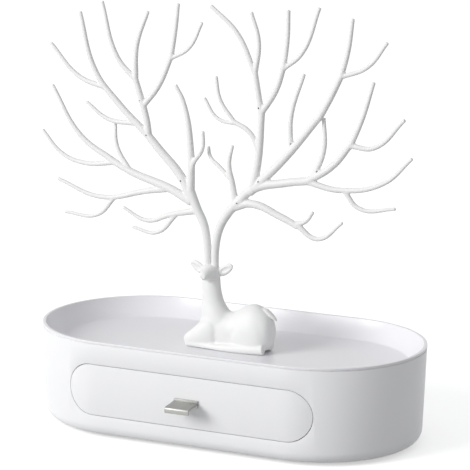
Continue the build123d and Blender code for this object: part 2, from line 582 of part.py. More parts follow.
def make_deer():
    deer = make_torso() + make_neck() + make_head() + make_tail()
    for side in (-1, 1):
        deer += make_ear(side) + make_leg_pair(side)
    deer -= block(-60, 60, -40, 40, TRAY_TOP - 20, TRAY_TOP)
    for side in (-1, 1):
        x = HEAD_X + side * SOCKET_SPACING / 2
        deer += upright_rod(x, 0, TRAY_TOP + HEAD_HEIGHT, TRAY_TOP + CROWN_HEIGHT, PEDICLE_DIAMETER)
    for side in (-1, 1):
        x = HEAD_X + side * SOCKET_SPACING / 2
        seat_z = TRAY_TOP + CROWN_HEIGHT
        deer -= upright_rod(x, 0, seat_z - PIN_LENGTH - FIT_GAP, seat_z, PIN_DIAMETER + 2 * SCREW_RUN)
        deer -= upright_rod(x, 0, seat_z, seat_z + PIN_LENGTH, PEDICLE_DIAMETER + 2 * FIT_GAP)
    for x in DEER_SCREW_X:
        pilot_top = TRAY_TOP + DEER_SCREW_GRIP + PILOT_SPARE
        deer -= upright_rod(x, 0, TRAY_TOP, pilot_top, SCREW_DIAMETER + 2 * SCREW_RUN)
    return deer


def make_deer_screws():
    return [upright_screw(x, 0, TRAY_UNDER, TRAY_TOP + DEER_SCREW_GRIP) for x in DEER_SCREW_X]


# ---------------------------------------------------------------- antlers
def make_branch(root_radius, tip_radius, lean, *line):
    """One limb of an antler, whose tip may lean out of the antler's plane."""
    last = len(line) - 1
    points = [(x, lean * i / last, TRAY_TOP + height) for i, (x, height) in enumerate(line)]
    return limb(points, root_radius, tip_radius, BRANCH_SIDES)


def make_antler(limbs, holes, socket_x):
    seat_z = TRAY_TOP + CROWN_HEIGHT
    branches = [make_branch(*row) for row in limbs.values()]
    antler = branches[0].fuse(*branches[1:])
    antler -= block(socket_x - 5, socket_x + 5, -5, 5, seat_z - 5, seat_z)
    antler += upright_rod(socket_x, 0, seat_z - PIN_LENGTH, seat_z + 1, PIN_DIAMETER)
    for x, height in holes:
        antler -= forward_rod(x, TRAY_TOP + height, 6, -6, EARRING_HOLE)
    return antler


# ---------------------------------------------------------------- write the pieces
def main():
    os.makedirs("parts", exist_ok=True)
    pieces = {
        "housing": make_housing(),
        "tray": make_tray(),
        "tray_screws": Compound(children=make_tray_screws()),
        "drawer_box": make_drawer_box(),
        "drawer_front": make_drawer_front(),
        "drawer_front_screws": Compound(children=make_front_screws()),
        "drawer_pull": make_pull(),
        "drawer_pull_screws": Compound(children=make_pull_screws()),
        "deer": make_deer(),
        "deer_screws": Compound(children=make_deer_screws()),
        "antler_left": make_antler(LEFT_ANTLER, LEFT_HOLES, HEAD_X - SOCKET_SPACING / 2),
        "antler_right": make_antler(RIGHT_ANTLER, RIGHT_HOLES, HEAD_X + SOCKET_SPACING / 2),
    }
    corners = ("left_front", "left_back", "right_front", "right_back")
    for name, (x, y) in zip(corners, PILLARS):
        pieces["foot_" + name] = make_foot(x, y)
    for name, shape in pieces.items():
        export_step(shape, "parts/" + name + ".step")


main()
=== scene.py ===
# %% [markdown]
# # A jewelry stand with a drawer, step by step
#
# The stand is a stadium-shaped box of white plastic. A drawer slides out of its front, a dished
# tray closes its top, and a small resting deer on the tray carries two branching antlers for
# necklaces and earrings. The sizes and the moving parts are already settled in a imported model,
# so the first step loads that model.
# %% Load the imported model
from math import cos, pi, radians, sin, tan

import bpy
from mathutils import Matrix, Vector


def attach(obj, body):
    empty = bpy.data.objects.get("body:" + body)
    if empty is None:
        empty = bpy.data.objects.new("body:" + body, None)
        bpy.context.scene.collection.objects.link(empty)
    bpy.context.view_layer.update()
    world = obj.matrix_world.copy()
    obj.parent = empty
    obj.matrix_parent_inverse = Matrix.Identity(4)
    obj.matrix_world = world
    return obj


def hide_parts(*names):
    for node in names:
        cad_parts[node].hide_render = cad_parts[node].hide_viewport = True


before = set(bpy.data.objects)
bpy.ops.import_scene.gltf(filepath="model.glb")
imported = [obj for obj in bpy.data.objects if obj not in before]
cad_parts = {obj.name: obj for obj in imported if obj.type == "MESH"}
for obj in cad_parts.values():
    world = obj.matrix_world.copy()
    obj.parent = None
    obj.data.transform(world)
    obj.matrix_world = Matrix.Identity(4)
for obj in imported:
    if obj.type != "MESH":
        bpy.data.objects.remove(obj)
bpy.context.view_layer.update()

MM = 0.001
scene = bpy.context.scene

# %% [markdown]
# ## The camera
# A product photograph is usually taken from far away with a long lens, which keeps upright edges
# upright. The place could be found by eye, but here it was worked out from the outline of the
# base: almost two metres away, a little above the rim and turned 25 degrees to the right. It is
# written as a turn, a height angle and a distance, because those are easy to change.
# %% Place the camera
AIM = Vector((1.558, 0, 142.086)) * MM
TURN = radians(24.892)
RISE = radians(12.132)
ROLL = radians(0.536)
DISTANCE = 1857.88 * MM

back = Vector((sin(TURN) * cos(RISE), -cos(TURN) * cos(RISE), sin(RISE)))
right = Vector((cos(TURN), sin(TURN), 0))
up = back.cross(right)
tilted_right = cos(ROLL) * right + sin(ROLL) * up
tilted_up = cos(ROLL) * up - sin(ROLL) * right
camera = bpy.data.objects.new("camera", bpy.data.cameras.new("camera"))
scene.collection.objects.link(camera)
camera.matrix_world = Matrix.Translation(AIM + back * DISTANCE) @ Matrix(
    (tilted_right, tilted_up, back)).transposed().to_4x4()
camera.data.lens = 199.1
camera.data.sensor_width = 36
camera.data.clip_end = 50
scene.camera = camera
print("camera at", [round(v, 3) for v in camera.location])

# %% [markdown]
# ## Light and floor
# White plastic on white only shows its form through shading, so the room is kept at a middle
# level, a little brighter towards the left, the front and above, and one large soft lamp stands
# low at the front left. It makes the front bright, the tray floor a little darker and the
# right-hand end grey.
# The camera and the reflections see a pure white room, while the room's own light on the object
# stays lower. A second lamp on the right would be the usual filler, but the photograph has none.
# %% Light the room
def node(tree, kind, **values):
    made = tree.nodes.new(kind)
    for name, value in values.items():
        if name in made.inputs:
            made.inputs[name].default_value = value
        else:
            setattr(made, name, value)
    return made


def white_for_camera(tree):
    """One where the camera, a reflection or glass looks, and zero for the light itself."""
    rays = node(tree, "ShaderNodeLightPath")
    seen = node(tree, "ShaderNodeMath", operation="MAXIMUM")
    seen_too = node(tree, "ShaderNodeMath", operation="MAXIMUM")
    tree.links.new(rays.outputs["Is Camera Ray"], seen.inputs[0])
    tree.links.new(rays.outputs["Is Glossy Ray"], seen.inputs[1])
    tree.links.new(seen.outputs[0], seen_too.inputs[0])
    tree.links.new(rays.outputs["Is Transmission Ray"], seen_too.inputs[1])
    return seen_too.outputs[0]


ROOM_LIGHT = 0.49
BRIGHTER_TOWARDS = (-0.05, -0.06, 0.06)
world = bpy.data.worlds.new("white_room")
world.use_nodes = True
tree = world.node_tree
tree.nodes.clear()
slope = node(tree, "ShaderNodeVectorMath", operation="DOT_PRODUCT")
slope.inputs[1].default_value = BRIGHTER_TOWARDS
tree.links.new(node(tree, "ShaderNodeTexCoord").outputs["Generated"], slope.inputs[0])
level = node(tree, "ShaderNodeMath", operation="ADD")
level.inputs[1].default_value = ROOM_LIGHT
tree.links.new(slope.outputs["Value"], level.inputs[0])
ambient = node(tree, "ShaderNodeBackground", Color=(0.98, 0.99, 1.0, 1))
tree.links.new(level.outputs[0], ambient.inputs["Strength"])
backdrop = node(tree, "ShaderNodeBackground", Color=(1, 1, 1, 1), Strength=1.0)
choose = node(tree, "ShaderNodeMixShader")
tree.links.new(white_for_camera(tree), choose.inputs[0])
tree.links.new(ambient.outputs[0], choose.inputs[1])
tree.links.new(backdrop.outputs[0], choose.inputs[2])
out = node(tree, "ShaderNodeOutputWorld")
tree.links.new(choose.outputs[0], out.inputs["Surface"])
scene.world = world


def soft_lamp(name, direction, distance, size, power, color):
    lamp = bpy.data.objects.new(name, bpy.data.lights.new(name, "AREA"))
    scene.collection.objects.link(lamp)
    lamp.data.shape = "DISK"
    lamp.data.size = size
    lamp.data.energy = power
    lamp.data.color = color
    towards = Vector(direction).normalized()
    lamp.location = Vector((0, 0, 0.1)) + towards * distance
    lamp.rotation_euler = towards.to_track_quat("Z", "Y").to_euler()
    return lamp


soft_lamp("window", (-0.53, -0.75, 0.39), 3.4, 1.8, 74, (1, 1, 0.99))
scene.view_settings.view_transform = "Standard"
print("one lamp and a room at", ROOM_LIGHT)

# %% [markdown]
# ## The floor
# In the photograph the table is as white as the background and only darkens next to the object.
# A floor lit to full white would throw too much light back up at the object. So the floor is
# ordinary matt paper, which takes the shadow, and a glow that only the camera and reflections
# see is added to it: the open floor reaches white, and the shadow stays. For the light that
# bounces up at the object the same paper is greyer, as if it stopped a little further out.
# %% Lay the floor
bpy.ops.object.select_all(action="DESELECT")
bpy.ops.mesh.primitive_plane_add(size=12, location=(0, 0, 0))
floor = bpy.context.object
floor.name = "floor"
paper = bpy.data.materials.new("white_paper")
paper.use_nodes = True
tree = paper.node_tree
tree.nodes.clear()
matt = node(tree, "ShaderNodeBsdfDiffuse")
paper_tone = node(tree, "ShaderNodeMapRange")
paper_tone.inputs["To Min"].default_value = 0.5
paper_tone.inputs["To Max"].default_value = 0.9
tree.links.new(white_for_camera(tree), paper_tone.inputs["Value"])
tree.links.new(paper_tone.outputs["Result"], matt.inputs["Color"])
glow = node(tree, "ShaderNodeEmission", Color=(1, 1, 1, 1))
share = node(tree, "ShaderNodeMath", operation="MULTIPLY")
share.inputs[1].default_value = 0.5
both = node(tree, "ShaderNodeAddShader")
tree.links.new(white_for_camera(tree), share.inputs[0])
tree.links.new(share.outputs[0], glow.inputs["Strength"])
tree.links.new(matt.outputs[0], both.inputs[0])
tree.links.new(glow.outputs[0], both.inputs[1])
out = node(tree, "ShaderNodeOutputMaterial")
tree.links.new(both.outputs[0], out.inputs["Surface"])
floor.data.materials.append(paper)

# %% [markdown]
# ## Finishes
# All the big pieces are moulded in white plastic, but not quite the same white. A real moulding
# has a faint orange-peel surface and is not equally shiny everywhere. Both come from noise
# textures that read the object's own coordinates, so the pattern stays on the piece when it
# moves. The orange peel is only a few hundredths of a millimetre deep.
# %% Mix the plastics
def moulded(name, color, shade, roughness, peel_size, peel_depth):
    """White plastic between two close tones, with an uneven sheen and a fine orange peel."""
    made = bpy.data.materials.new(name)
    made.use_nodes = True
    tree = made.node_tree
    skin = tree.nodes["Principled BSDF"]
    skin.inputs["IOR"].default_value = 1.47
    place = node(tree, "ShaderNodeTexCoord").outputs["Object"]
    cloud = node(tree, "ShaderNodeTexNoise", Scale=18.0, Detail=2.0)
    tree.links.new(place, cloud.inputs["Vector"])
    tones = node(tree, "ShaderNodeMix", data_type="RGBA")
    tones.inputs["A"].default_value = (*shade, 1)
    tones.inputs["B"].default_value = (*color, 1)
    tree.links.new(cloud.outputs["Fac"], tones.inputs["Factor"])
    tree.links.new(tones.outputs["Result"], skin.inputs["Base Color"])
    sheen = node(tree, "ShaderNodeMapRange")
    sheen.inputs["To Min"].default_value = roughness - 0.05
    sheen.inputs["To Max"].default_value = roughness + 0.05
    tree.links.new(cloud.outputs["Fac"], sheen.inputs["Value"])
    tree.links.new(sheen.outputs["Result"], skin.inputs["Roughness"])
    peel = node(tree, "ShaderNodeTexNoise", Scale=1 / (peel_size * MM), Detail=3.0)
    tree.links.new(place, peel.inputs["Vector"])
    bump = node(tree, "ShaderNodeBump", Strength=0.35, Distance=peel_depth * MM)
    tree.links.new(peel.outputs["Fac"], bump.inputs["Height"])
    tree.links.new(bump.outputs["Normal"], skin.inputs["Normal"])
    return made


base_white = moulded("base_white", (0.87, 0.87, 0.885), (0.855, 0.855, 0.87), 0.34, 2.4, 0.02)
tray_white = moulded("tray_white", (0.85, 0.845, 0.875), (0.835, 0.83, 0.86), 0.30, 2.4, 0.02)
drawer_white = moulded("drawer_white", (0.84, 0.84, 0.845), (0.82, 0.82, 0.825), 0.5, 1.2, 0.03)
figure_white = moulded("figure_white", (0.85, 0.85, 0.845), (0.83, 0.83, 0.825), 0.50, 2.4, 0.012)
print("four white plastics mixed")

# %% [markdown]
# The pull is a folded strip of pale metal with a satin brushed surface. The brush marks are a
# noise texture that is stretched a hundred times along the strip's width. The screws are plated
# steel, and the feet are soft rubber with a matt skin.
# %% Mix the metals and the rubber
def brushed(name, color, roughness, depth):
    made = bpy.data.materials.new(name)
    made.use_nodes = True
    tree = made.node_tree
    skin = tree.nodes["Principled BSDF"]
    skin.inputs["Base Color"].default_value = (*color, 1)
    skin.inputs["Metallic"].default_value = 1.0
    place = node(tree, "ShaderNodeTexCoord").outputs["Object"]
    stretch = node(tree, "ShaderNodeMapping")
    stretch.inputs["Scale"].default_value = (40, 4000, 4000)
    tree.links.new(place, stretch.inputs["Vector"])
    marks = node(tree, "ShaderNodeTexNoise", Scale=1.0, Detail=2.0)
    tree.links.new(stretch.outputs["Vector"], marks.inputs["Vector"])
    sheen = node(tree, "ShaderNodeMapRange")
    sheen.inputs["To Min"].default_value = roughness - 0.08
    sheen.inputs["To Max"].default_value = roughness + 0.08
    tree.links.new(marks.outputs["Fac"], sheen.inputs["Value"])
    tree.links.new(sheen.outputs["Result"], skin.inputs["Roughness"])
    bump = node(tree, "ShaderNodeBump", Strength=0.3, Distance=depth * MM)
    tree.links.new(marks.outputs["Fac"], bump.inputs["Height"])
    tree.links.new(bump.outputs["Normal"], skin.inputs["Normal"])
    return made


pull_metal = brushed("pull_metal", (0.36, 0.36, 0.345), 0.46, 0.02)
screw_steel = brushed("screw_steel", (0.62, 0.62, 0.64), 0.3, 0.01)
foot_rubber = moulded("foot_rubber", (0.78, 0.78, 0.78), (0.74, 0.74, 0.74), 0.75, 0.8, 0.05)
for name, finish in (
    ("drawer_box", drawer_white), ("drawer_front_screws", screw_steel),
    ("drawer_pull_screws", screw_steel), ("tray_screws", screw_steel),
    ("deer_screws", screw_steel), ("foot_left_front", foot_rubber),
    ("foot_left_back", foot_rubber), ("foot_right_front", foot_rubber),
    ("foot_right_back", foot_rubber),
):
    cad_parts[name].data.materials.clear()
    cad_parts[name].data.materials.append(finish)

# %% [markdown]
# ## Working as by hand
# The next helpers do what a modeller does with the mouse: clear the selection, add a modifier
# and apply it, join pieces, and hand a finished piece to the body that it moves with.
# %% Helpers for the work
def only(piece, *others):
    """Select these pieces and nothing else, with the first one active."""
    bpy.ops.object.select_all(action="DESELECT")
    for one in (piece, *others):
        one.select_set(True)
    bpy.context.view_layer.objects.active = piece


def apply_modifier(piece, kind, **settings):
    only(piece)
    modifier = piece.modifiers.new(kind.lower(), kind)
    for name, value in settings.items():
        setattr(modifier, name, value)
    bpy.ops.object.modifier_apply(modifier=modifier.name)


def join(pieces):
    only(*pieces)
    bpy.ops.object.join()
    return bpy.context.object


def cut(piece, tool, operation="DIFFERENCE"):
    """Cut the tool out of the piece, or keep only what both share, and drop the tool."""
    apply_modifier(piece, "BOOLEAN", operation=operation, solver="EXACT", object=tool)
    bpy.data.objects.remove(tool)


def hand_over(piece, name, body, slot, finish, *nodes):
    """Name the piece, give it its finish and let it ride on its body in place of CAD nodes."""
    only(piece)
    bpy.ops.object.transform_apply(location=True, rotation=True, scale=True)
    piece.name = name
    piece.data.name = name
    piece.data.materials.clear()
    piece.data.materials.append(finish)
    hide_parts(*nodes)
    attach(piece, body)
    triangles = sum(len(f.vertices) - 2 for f in piece.data.polygons)
    print(name, "has", triangles, "triangles")


# %% [markdown]
# ## A stadium is a circle pulled apart
# The base looks like a box with round ends, and every level cut through it is a stadium. It
# could be made from a cube with a very wide bevel, but its round ends would be hard to keep
# even. It is quicker to turn a profile into a round bowl, one ring after another, and then to
# pull the two halves apart: the faces that stretch become the straight walls.
# %% Turn a profile and pull it apart
BASE_LENGTH = 290.0
BASE_WIDTH = 152.0
BASE_HEIGHT = 72.0
WALL_DRAFT = radians(2.0)
PULL_APART = (BASE_LENGTH - BASE_WIDTH) / 2
ROUND_STEPS = 144


def wall(z, inset=0.0):
    """The outer wall's (radius, height) at height z, or a wall set in from it."""
    return (BASE_WIDTH / 2 - (BASE_HEIGHT - z) * tan(WALL_DRAFT) - inset, z)


def rounding(centre, radius, start, end, steps=8):
    """Points along a rounded edge, from one angle to the other in degrees."""
    turns = [radians(start + (end - start) * i / steps) for i in range(steps + 1)]
    return [(centre[0] + radius * cos(a), centre[1] + radius * sin(a)) for a in turns]


def turned(profile):
    """A closed round body through (radius, height) points."""
    bpy.ops.object.select_all(action="DESELECT")
    radius, z = profile[0]
    bpy.ops.mesh.primitive_circle_add(
        vertices=ROUND_STEPS, radius=radius * MM, location=(0, 0, z * MM),
        rotation=(0, 0, pi / ROUND_STEPS))
    body = bpy.context.object
    bpy.ops.object.transform_apply(location=True, rotation=True, scale=True)
    bpy.ops.object.mode_set(mode="EDIT")
    bpy.ops.mesh.select_all(action="SELECT")
    for (old_radius, old_z), (new_radius, new_z) in zip(profile, profile[1:]):
        share = new_radius / old_radius
        bpy.ops.mesh.extrude_region_move(
            TRANSFORM_OT_translate={"value": (0, 0, (new_z - old_z) * MM)})
        bpy.ops.transform.resize(value=(share, share, 1), center_override=(0, 0, 0))
    bpy.ops.mesh.select_all(action="SELECT")
    bpy.ops.mesh.fill_holes(sides=0)
    bpy.ops.mesh.select_all(action="SELECT")
    bpy.ops.mesh.normals_make_consistent(inside=False)
    bpy.ops.object.mode_set(mode="OBJECT")
    return body


def pull_apart(body, distance):
    """Move each half of a round body outwards, which turns its circles into stadiums."""
    for side in (-1, 1):
        only(body)
        bpy.ops.object.mode_set(mode="EDIT")
        bpy.ops.mesh.select_mode(type="VERT")
        bpy.ops.mesh.select_all(action="DESELECT")
        bpy.ops.object.mode_set(mode="OBJECT")
        for vertex in body.data.vertices:
            vertex.select = vertex.co.x * side > 0
        bpy.ops.object.mode_set(mode="EDIT")
        bpy.ops.transform.translate(value=(side * distance * MM, 0, 0))
        bpy.ops.object.mode_set(mode="OBJECT")


def obround(width, height, z, y_front, y_back):
    """A flat-sided bar with round ends that points along Y, to cut with."""
    bpy.ops.object.select_all(action="DESELECT")
    bpy.ops.mesh.primitive_cylinder_add(
        vertices=96, radius=height / 2 * MM, depth=(y_back - y_front) * MM,
        location=(0, (y_front + y_back) / 2 * MM, z * MM), rotation=(radians(90), 0, 0))
    bar = bpy.context.object
    bpy.ops.object.transform_apply(location=True, rotation=True, scale=True)
    pull_apart(bar, (width - height) / 2)
    return bar


def slab(x0, x1, y0, y1, z0, z1):
    bpy.ops.object.select_all(action="DESELECT")
    bpy.ops.mesh.primitive_cube_add(
        size=1, location=((x0 + x1) / 2 * MM, (y0 + y1) / 2 * MM, (z0 + z1) / 2 * MM),
        scale=((x1 - x0) * MM, (y1 - y0) * MM, (z1 - z0) * MM))
    bpy.ops.object.transform_apply(location=True, rotation=True, scale=True)
    return bpy.context.object


def peg(x, y, z0, z1, diameter):
    bpy.ops.object.select_all(action="DESELECT")
    bpy.ops.mesh.primitive_cylinder_add(
        vertices=48, radius=diameter / 2 * MM, depth=(z1 - z0) * MM,
        location=(x * MM, y * MM, (z0 + z1) / 2 * MM))
    bpy.ops.object.transform_apply(location=True, rotation=True, scale=True)
    return bpy.context.object


print("wall radius at the rim", wall(BASE_HEIGHT), "and at the table", wall(2.0))

# %% [markdown]
# ## The housing
# The housing is the lower shell: a floor with a wide round along its edge, a wall that leans out
# by two degrees so that it leaves its mould, and a narrow step at the top for the thin shadow
# line under the tray. The window for the drawer is an obround that also cuts into the round
# ends. Inside stand the runners and guides of the drawer and the bosses for the tray's screws.
# %% Turn the housing and cut its window
BOTTOM = 2.0
FLOOR = 4.5
SEAT = 70.2
RIM_STEP = 61.0
WALL = 2.4
RIM_WALL = 1.3
BOTTOM_ROUND = 9.0
FLOOR_MIDDLE = 30.0
GROOVE_HEIGHT = 0.6
GROOVE_DEPTH = 0.7
DRAWER_CENTRE = 36.5
DRAWER_WIDTH = 188.0
DRAWER_HEIGHT = 37.0
DRAWER_GAP = 0.5
CUT_FROM_Y = -90.0
CUT_TO_Y = -38.0

corner_z = BOTTOM + BOTTOM_ROUND
corner_r = wall(corner_z)[0] - BOTTOM_ROUND
inner_round = BOTTOM_ROUND - WALL
inner_z = FLOOR + inner_round
inner_r = wall(inner_z, WALL)[0] - inner_round
groove_z = SEAT - GROOVE_HEIGHT
housing = turned(
    [(FLOOR_MIDDLE, BOTTOM)]
    + rounding((corner_r, corner_z), BOTTOM_ROUND, -90, 0, 12)
    + [wall(groove_z), wall(groove_z, GROOVE_DEPTH), wall(SEAT, GROOVE_DEPTH)]
    + [wall(SEAT, RIM_WALL), wall(RIM_STEP, RIM_WALL), wall(RIM_STEP, WALL)]
    + rounding((inner_r, inner_z), inner_round, 0, -90, 8)
    + [(FLOOR_MIDDLE, FLOOR)])
pull_apart(housing, PULL_APART)
cut(housing, obround(DRAWER_WIDTH + 2 * DRAWER_GAP, DRAWER_HEIGHT + 2 * DRAWER_GAP,
                     DRAWER_CENTRE, CUT_FROM_Y, CUT_TO_Y))
print("housing shell has", len(housing.data.polygons), "faces")

# %% [markdown]
# A real moulding has no knife-sharp edges. A bevel modifier that only works on edges sharper
# than 35 degrees rounds the window, the shadow line and the rim by a quarter of a millimetre
# and leaves the curved walls alone.
# %% Soften the edges and add the inside
RUNNER_X = 58.0
RUNNER_HALF = 1.2
RUNNER_TOP = 18.8
GUIDE_X = 83.4
GUIDE_TOP = 44.5
RUN_FROM_Y = -64.0
RUN_TO_Y = 50.0
BACK_STOP_Y = 50.1
STOP_HALF = 7.0
SHEET_THICK = 2.0
SUNK = 0.5
CORNERS = [(x, y) for x in (-112.0, 112.0) for y in (-30.0, 30.0)]
BOSS_TOP = 20.0
BOSS_DIAMETER = 11.0
RECESS_TOP = 2.8
RECESS_DIAMETER = 14.2


def soften(piece, width, segments, angle):
    """Round the edges that are sharper than an angle in degrees."""
    apply_modifier(piece, "BEVEL", width=width * MM, segments=segments, limit_method="ANGLE",
                   angle_limit=radians(angle))


soften(housing, 0.25, 2, 35)
low = FLOOR - SUNK
inside = [peg(x, y, low, BOSS_TOP, BOSS_DIAMETER) for x, y in CORNERS]
for side in (-1, 1):
    runner = side * RUNNER_X
    guide = side * GUIDE_X
    inside += [
        slab(runner - RUNNER_HALF, runner + RUNNER_HALF, RUN_FROM_Y, RUN_TO_Y, low, RUNNER_TOP),
        slab(guide - SHEET_THICK / 2, guide + SHEET_THICK / 2, RUN_FROM_Y, RUN_TO_Y, low, GUIDE_TOP),
        slab(runner - STOP_HALF, runner + STOP_HALF, BACK_STOP_Y, BACK_STOP_Y + SHEET_THICK,
             low, GUIDE_TOP)]
for part in inside:
    soften(part, 0.3, 2, 35)
housing = join([housing, *inside])
cut(housing, join([peg(x, y, 0.0, RECESS_TOP, RECESS_DIAMETER) for x, y in CORNERS]))
only(housing)
bpy.ops.object.shade_smooth_by_angle(angle=radians(30))
hand_over(housing, "housing_shell", "stand", "base_white", base_white, "housing")

# %% [markdown]
# ## The tray
# The tray is a dish that drops into the housing. In the photograph its wall is one even, bright
# slope that meets the darker floor in a crisp line, about twelve millimetres in from the rim, and
# its lip lies flush with the outer wall. The same way of turning a profile works here. The rim's
# edge is rounded in the profile itself, because that thin bright line is what the eye follows
# around the whole stand.
# %% Turn the tray
TRAY_FLOOR = 58.0
TRAY_THICK = 2.0
UNDER_ROUND = 12.2
TRAY_WALL = 1.2
TRAY_INSET = 1.4
TRAY_MIDDLE = 20.0
LIP_BEVEL = 0.25
RIM_ROUND = 0.45
SLOPE_FOOT = 12.4
SLOPE_START = 0.06
SLOPE_BEND = 0.46
FOOT_ROUND = 2.0
PILLAR_DIAMETER = 8.0
STOP_X = 62.0
STOP_Y = -43.9
STOP_LOW = 53.1

under_z = TRAY_FLOOR - TRAY_THICK + UNDER_ROUND
under_r = wall(under_z, TRAY_INSET)[0] - UNDER_ROUND
rim_out = wall(BASE_HEIGHT)[0] - RIM_ROUND
rim_in = wall(BASE_HEIGHT, TRAY_INSET + TRAY_WALL)[0] + RIM_ROUND
rim_z = BASE_HEIGHT - RIM_ROUND
foot_r = BASE_WIDTH / 2 - SLOPE_FOOT


def on_slope(share):
    """A point of the tray's sloping wall, a share of the way from its foot to the rim."""
    run = rim_in - RIM_ROUND - foot_r
    return (foot_r + share * run, TRAY_FLOOR + share * (rim_z - TRAY_FLOOR))


start_r = on_slope(SLOPE_START)[0]
tray = turned(
    [(TRAY_MIDDLE, TRAY_FLOOR - TRAY_THICK)]
    + rounding((under_r, under_z), UNDER_ROUND, -90, 0, 10)
    + [wall(SEAT, TRAY_INSET), wall(SEAT, LIP_BEVEL), wall(SEAT + LIP_BEVEL)]
    + rounding((rim_out, rim_z), RIM_ROUND, 0, 90, 5)
    + rounding((rim_in, rim_z), RIM_ROUND, 90, 180, 5)
    + [on_slope(SLOPE_BEND), on_slope(SLOPE_START)]
    + [(start_r - 0.45 * FOOT_ROUND, TRAY_FLOOR + 0.12 * FOOT_ROUND)]
    + [(start_r - FOOT_ROUND, TRAY_FLOOR), (TRAY_MIDDLE, TRAY_FLOOR)])
pull_apart(tray, PULL_APART)
top = TRAY_FLOOR - TRAY_THICK / 2
pillars = [peg(x, y, BOSS_TOP, top, PILLAR_DIAMETER) for x, y in CORNERS]
bars = [slab(x - STOP_HALF, x + STOP_HALF, STOP_Y, STOP_Y + SHEET_THICK, STOP_LOW, top)
        for x in (-STOP_X, STOP_X)]
tray = join([tray, *pillars, *bars])
only(tray)
bpy.ops.object.shade_smooth_by_angle(angle=radians(30))
hand_over(tray, "dished_tray", "stand", "tray_white", tray_white, "tray")

# %% [markdown]
# ## The drawer front
# The drawer front continues the wall of the housing, so it is cut from the same turned shell: a
# three millimetre skin, of which only an obround a little smaller than the window is kept. A pad
# on its back takes the screws of the drawer box.
# %% Cut the drawer front from the wall
FRONT_THICK = 3.0
BAND_HALF = 21.0
PAD_HALF_WIDTH = 59.0
PAD_HALF_HEIGHT = 12.0
PAD_FRONT_Y = -72.6
PAD_BACK_Y = -70.0

z_low = DRAWER_CENTRE - BAND_HALF
z_high = DRAWER_CENTRE + BAND_HALF
skin = turned([wall(z_low, FRONT_THICK), wall(z_low), wall(z_high), wall(z_high, FRONT_THICK)])
pull_apart(skin, PULL_APART)
hollow = turned([(4.0, z_low - 1), wall(z_low - 1, FRONT_THICK),
                 wall(z_high + 1, FRONT_THICK), (4.0, z_high + 1)])
pull_apart(hollow, PULL_APART)
cut(skin, hollow)
cut(skin, obround(DRAWER_WIDTH, DRAWER_HEIGHT, DRAWER_CENTRE, CUT_FROM_Y, CUT_TO_Y), "INTERSECT")
soften(skin, 0.3, 3, 35)
pad = slab(-PAD_HALF_WIDTH, PAD_HALF_WIDTH, PAD_FRONT_Y, PAD_BACK_Y,
           DRAWER_CENTRE - PAD_HALF_HEIGHT, DRAWER_CENTRE + PAD_HALF_HEIGHT)
soften(pad, 0.3, 2, 30)
drawer_front = join([skin, pad])
only(drawer_front)
bpy.ops.object.shade_smooth_by_angle(angle=radians(30))
hand_over(drawer_front, "drawer_face", "drawer", "base_white", base_white, "drawer_front")

# %% [markdown]
# ## The drawer pull
# The pull is a strip of sheet metal on the drawer front: a back plate, a tongue that falls a
# little towards the front, and a lip that turns down at the end to hook a finger behind. A
# single plane is enough to start with. Its front edge is extruded along the bend and down the
# lip, and a Solidify modifier gives the strip its thickness.
# %% Fold the pull
PULL_WIDTH = 18.4
SHEET = 1.4
WALL_Y = -74.84
TONGUE_Z = 37.4
NOSE = (-90.84, 36.4)
BEND = 1.8
LIP_HEIGHT = 4.4
PLATE_LOW = 34.1
PLATE_HIGH = 38.9

tongue_end = NOSE[0] + BEND
bpy.ops.object.select_all(action="DESELECT")
bpy.ops.mesh.primitive_plane_add(
    size=1, location=(0, (WALL_Y + tongue_end) / 2 * MM, TONGUE_Z * MM))
pull = bpy.context.object
bpy.ops.transform.resize(value=(PULL_WIDTH * MM, (WALL_Y - tongue_end) * MM, 1))
bpy.ops.object.transform_apply(location=True, rotation=True, scale=True)
for vertex in pull.data.vertices:
    vertex.select = vertex.co.y < (tongue_end + 0.1) * MM
for edge in pull.data.edges:
    edge.select = all(pull.data.vertices[v].select for v in edge.vertices)
for face in pull.data.polygons:
    face.select = False
bpy.ops.object.mode_set(mode="EDIT")
bpy.ops.mesh.select_mode(type="EDGE")
bpy.ops.transform.translate(value=(0, 0, (NOSE[1] - TONGUE_Z) * MM))
path = rounding((NOSE[0] + BEND, NOSE[1] - BEND), BEND, 90, 180, 6)
path.append((NOSE[0], NOSE[1] - LIP_HEIGHT))
for (y_from, z_from), (y_to, z_to) in zip(path, path[1:]):
    bpy.ops.mesh.extrude_region_move(
        TRANSFORM_OT_translate={"value": (0, (y_to - y_from) * MM, (z_to - z_from) * MM)})
bpy.ops.mesh.select_all(action="SELECT")
bpy.ops.mesh.normals_make_consistent(inside=False)
bpy.ops.object.mode_set(mode="OBJECT")
if pull.data.polygons[0].normal.z < 0:
    pull.data.flip_normals()
apply_modifier(pull, "SOLIDIFY", thickness=SHEET * MM, offset=-1)
plate = slab(-PULL_WIDTH / 2, PULL_WIDTH / 2, WALL_Y - SHEET, WALL_Y + 0.1, PLATE_LOW, PLATE_HIGH)
for part in (pull, plate):
    soften(part, 0.35, 3, 40)
pull = join([pull, plate])
only(pull)
bpy.ops.object.shade_smooth_by_angle(angle=radians(35))
hand_over(pull, "folded_pull", "drawer", "pull_metal", pull_metal, "drawer_pull")
print("pull reaches", [round(v / MM, 1) for v in (min(v.co.y for v in pull.data.vertices),
                                                  max(v.co.z for v in pull.data.vertices))])

